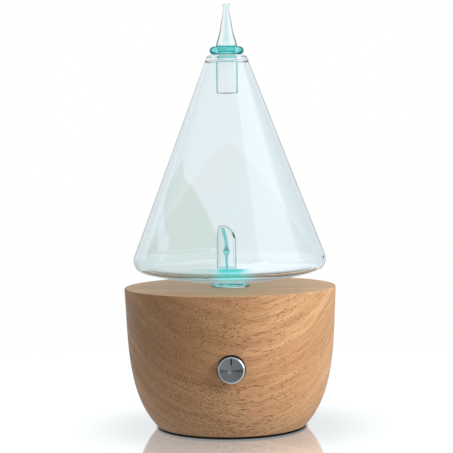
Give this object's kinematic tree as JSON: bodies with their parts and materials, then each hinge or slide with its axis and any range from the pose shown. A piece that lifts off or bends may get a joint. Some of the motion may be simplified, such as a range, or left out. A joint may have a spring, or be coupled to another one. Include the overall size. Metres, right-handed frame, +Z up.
{
  "type": "essential oil diffuser",
  "caption": "Nebulising oil diffuser: turned wooden base with a front dial hides an air pump that drives a mist jet in a conical glass reservoir with a spouted glass stopper.",
  "frame": {"origin": "centre of the circle the diffuser stands on, at the underside of the foot ring", "axes": "+Z up, -Y towards the front where the dial is, +X to the right as seen from the front"},
  "size_m": [0.11, 0.1115, 0.2193],
  "materials": {
    "wood": "turned and oiled, open pores",
    "cover_plastic": "moulded",
    "ring_rubber": "soft",
    "screw_steel": "zinc plated",
    "knob_metal": "spun-brushed face with a bright chamfer",
    "white_plastic": "moulded",
    "pointer_black": "filled groove",
    "bright_steel": "nickel plated",
    "dial_case": "moulded",
    "plate_steel": "zinc plated",
    "reservoir_glass": "clear blown glass",
    "jet_glass": "clear drawn glass with a teal cast from the lamps",
    "stopper_glass": "clear worked glass",
    "clear_plastic": "clear polycarbonate",
    "silicone": "translucent silicone",
    "board_green": "green solder mask",
    "lamp_lens": "clear lens over a coloured lamp",
    "pump_plastic": "moulded",
    "black_rubber": "soft",
    "felt": "felt",
    "rotor_iron": "laminated steel",
    "copper_wire": "enamelled copper",
    "magnet": "ferrite",
    "can_steel": "zinc plated",
    "cap_plastic": "moulded nylon",
    "contact_brass": "bright",
    "foam": "closed-cell foam",
    "chip_black": "moulded",
    "capacitor_sleeve": "shrink sleeve",
    "header_nylon": "moulded nylon",
    "jack_plastic": "moulded",
    "wire_red": "insulated wire",
    "wire_black": "insulated wire",
    "wire_white": "insulated wire"
  },
  "bodies": {
    "base": {"wood_base": "wood", "bottom_cover": "cover_plastic", "foot_ring": "ring_rubber", "cover_screws": "screw_steel", "dial_screws": "screw_steel", "port_screws": "screw_steel", "head_screws": "screw_steel", "pump_screws": "screw_steel", "board_screws": "screw_steel", "dial_bushing": "bright_steel", "dial_nut": "bright_steel", "dial_body": "dial_case", "dial_plate": "plate_steel", "port_holder": "clear_plastic", "port_seal": "silicone", "air_hose": "silicone", "port_elbow": "white_plastic", "led_board": "board_green", "control_board": "board_green", "led_lamps": "lamp_lens", "pump_body": "pump_plastic", "valve_plate": "pump_plastic", "pump_head": "pump_plastic", "pump_diaphragm": "black_rubber", "valve_flaps": "black_rubber", "head_gasket": "black_rubber", "pump_mounts": "black_rubber", "intake_filter": "felt", "motor_magnets": "magnet", "motor_can": "can_steel", "motor_endcap": "cap_plastic", "motor_terminals": "contact_brass", "motor_pad": "foam", "driver_chip": "chip_black", "board_capacitor": "capacitor_sleeve", "board_headers": "header_nylon", "power_jack": "jack_plastic", "jack_pin": "contact_brass", "jack_nut": "bright_steel", "jack_tabs": "contact_brass", "motor_leads": "wire_red", "lamp_leads": "wire_black", "dial_leads": "wire_white", "jack_leads": "wire_black"},
    "dial": {"control_knob": "knob_metal", "knob_core": "white_plastic", "knob_pointer": "pointer_black", "dial_shaft": "bright_steel"},
    "reservoir": {"reservoir_flask": "reservoir_glass", "jet_shroud": "reservoir_glass", "air_jet": "jet_glass"},
    "stopper": {"glass_stopper": "stopper_glass"},
    "rotor": {"motor_shaft": "bright_steel", "motor_rotor": "rotor_iron", "motor_windings": "copper_wire", "pump_eccentric": "white_plastic"},
    "conrod": {"pump_conrod": "white_plastic"}
  },
  "joints": [
    {"name": "dial_turn", "type": "hinge", "parent": "base", "child": "dial", "pos_m": [0, -0.05, 0.0373], "axis": [0, -1, 0], "range_deg": [-150, 150]},
    {"name": "reservoir_lift", "type": "slide", "parent": "base", "child": "reservoir", "axis": [0, 0, 1], "range_m": [0, 0.03]},
    {"name": "stopper_lift", "type": "slide", "parent": "reservoir", "child": "stopper", "axis": [0, 0, 1], "range_m": [0, 0.03]},
    {"name": "motor_spin", "type": "hinge", "parent": "base", "child": "rotor", "pos_m": [0, 0.008, 0.022], "axis": [1, 0, 0], "continuous": true},
    {"name": "conrod_stroke", "type": "slide", "parent": "base", "child": "conrod", "axis": [0, 0, 1], "range_m": [-0.0008, 0.0008], "deforming": ["pump_diaphragm"]}
  ]
}
